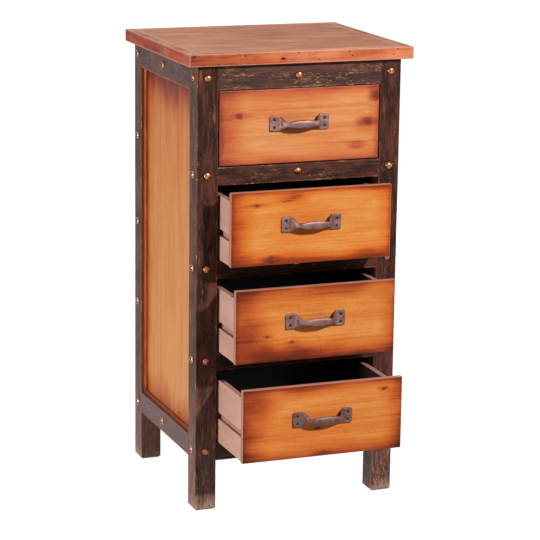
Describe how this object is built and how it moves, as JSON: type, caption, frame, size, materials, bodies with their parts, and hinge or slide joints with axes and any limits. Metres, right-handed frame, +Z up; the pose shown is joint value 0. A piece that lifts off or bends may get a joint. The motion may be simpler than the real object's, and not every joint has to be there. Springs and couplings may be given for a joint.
{
  "type": "nightstand",
  "caption": "Tall narrow bedside chest with sliding drawers in a dark post-and-rail frame, panelled sides, stud trim, bow handles and a mitred wooden top.",
  "frame": {"origin": "floor level, in the middle of the space that the chest takes up at rest, with its drawers part-way open as pictured", "axes": "+Z up; -Y towards the front, where the drawers open; +X to the right as seen from the front"},
  "size_m": [0.406, 0.4954, 0.8],
  "materials": {
    "top_wood": "stained and satin varnished",
    "frame_wood": "dark paint rubbed back to bare wood in places",
    "side_panel_wood": "honey stain, darker towards the edges, satin varnish",
    "bead_wood": "red-brown stain, satin varnish",
    "back_panel_wood": "thin board, plain stain",
    "drawer_front_wood": "honey stain, darker towards the edges, satin varnish",
    "drawer_box_wood": "unvarnished pinkish-brown board",
    "runner_wood": "plain hardwood, waxed",
    "stud_metal": "antiqued copper-coloured, semi-gloss",
    "handle_metal": "brown patina, satin",
    "screw_metal": "dark, satin"
  },
  "bodies": {
    "cabinet": {"bead_left": "bead_wood", "bead_right": "bead_wood", "panel_back": "back_panel_wood", "panel_left": "side_panel_wood", "panel_right": "side_panel_wood", "post_back_left": "frame_wood", "post_back_right": "frame_wood", "post_front_left": "frame_wood", "post_front_right": "frame_wood", "rail_back_bottom": "frame_wood", "rail_back_top": "frame_wood", "rail_front_bottom": "frame_wood", "rail_front_lower": "frame_wood", "rail_front_middle": "frame_wood", "rail_front_top": "frame_wood", "rail_front_upper": "frame_wood", "rail_left_bottom": "frame_wood", "rail_left_top": "frame_wood", "rail_right_bottom": "frame_wood", "rail_right_top": "frame_wood", "runners_left": "runner_wood", "runners_right": "runner_wood", "studs_front": "stud_metal", "studs_left": "stud_metal", "studs_right": "stud_metal", "top_edge_back": "top_wood", "top_edge_front": "top_wood", "top_edge_left": "top_wood", "top_edge_right": "top_wood", "top_panel": "top_wood"},
    "drawer_1": {"drawer_1_back": "drawer_box_wood", "drawer_1_bottom": "drawer_box_wood", "drawer_1_front": "drawer_front_wood", "drawer_1_handle": "handle_metal", "drawer_1_handle_screws": "screw_metal", "drawer_1_side_left": "drawer_box_wood", "drawer_1_side_right": "drawer_box_wood"},
    "drawer_2": {"drawer_2_back": "drawer_box_wood", "drawer_2_bottom": "drawer_box_wood", "drawer_2_front": "drawer_front_wood", "drawer_2_handle": "handle_metal", "drawer_2_handle_screws": "screw_metal", "drawer_2_side_left": "drawer_box_wood", "drawer_2_side_right": "drawer_box_wood"},
    "drawer_3": {"drawer_3_back": "drawer_box_wood", "drawer_3_bottom": "drawer_box_wood", "drawer_3_front": "drawer_front_wood", "drawer_3_handle": "handle_metal", "drawer_3_handle_screws": "screw_metal", "drawer_3_side_left": "drawer_box_wood", "drawer_3_side_right": "drawer_box_wood"},
    "drawer_4": {"drawer_4_back": "drawer_box_wood", "drawer_4_bottom": "drawer_box_wood", "drawer_4_front": "drawer_front_wood", "drawer_4_handle": "handle_metal", "drawer_4_handle_screws": "screw_metal", "drawer_4_side_left": "drawer_box_wood", "drawer_4_side_right": "drawer_box_wood"}
  },
  "joints": [
    {"name": "drawer_1_slide", "type": "slide", "parent": "cabinet", "child": "drawer_1", "axis": [0, -1, 0], "range_m": [0, 0.23]},
    {"name": "drawer_2_slide", "type": "slide", "parent": "cabinet", "child": "drawer_2", "axis": [0, -1, 0], "range_m": [-0.062, 0.168]},
    {"name": "drawer_3_slide", "type": "slide", "parent": "cabinet", "child": "drawer_3", "axis": [0, -1, 0], "range_m": [-0.088, 0.142]},
    {"name": "drawer_4_slide", "type": "slide", "parent": "cabinet", "child": "drawer_4", "axis": [0, -1, 0], "range_m": [-0.128, 0.102]}
  ]
}
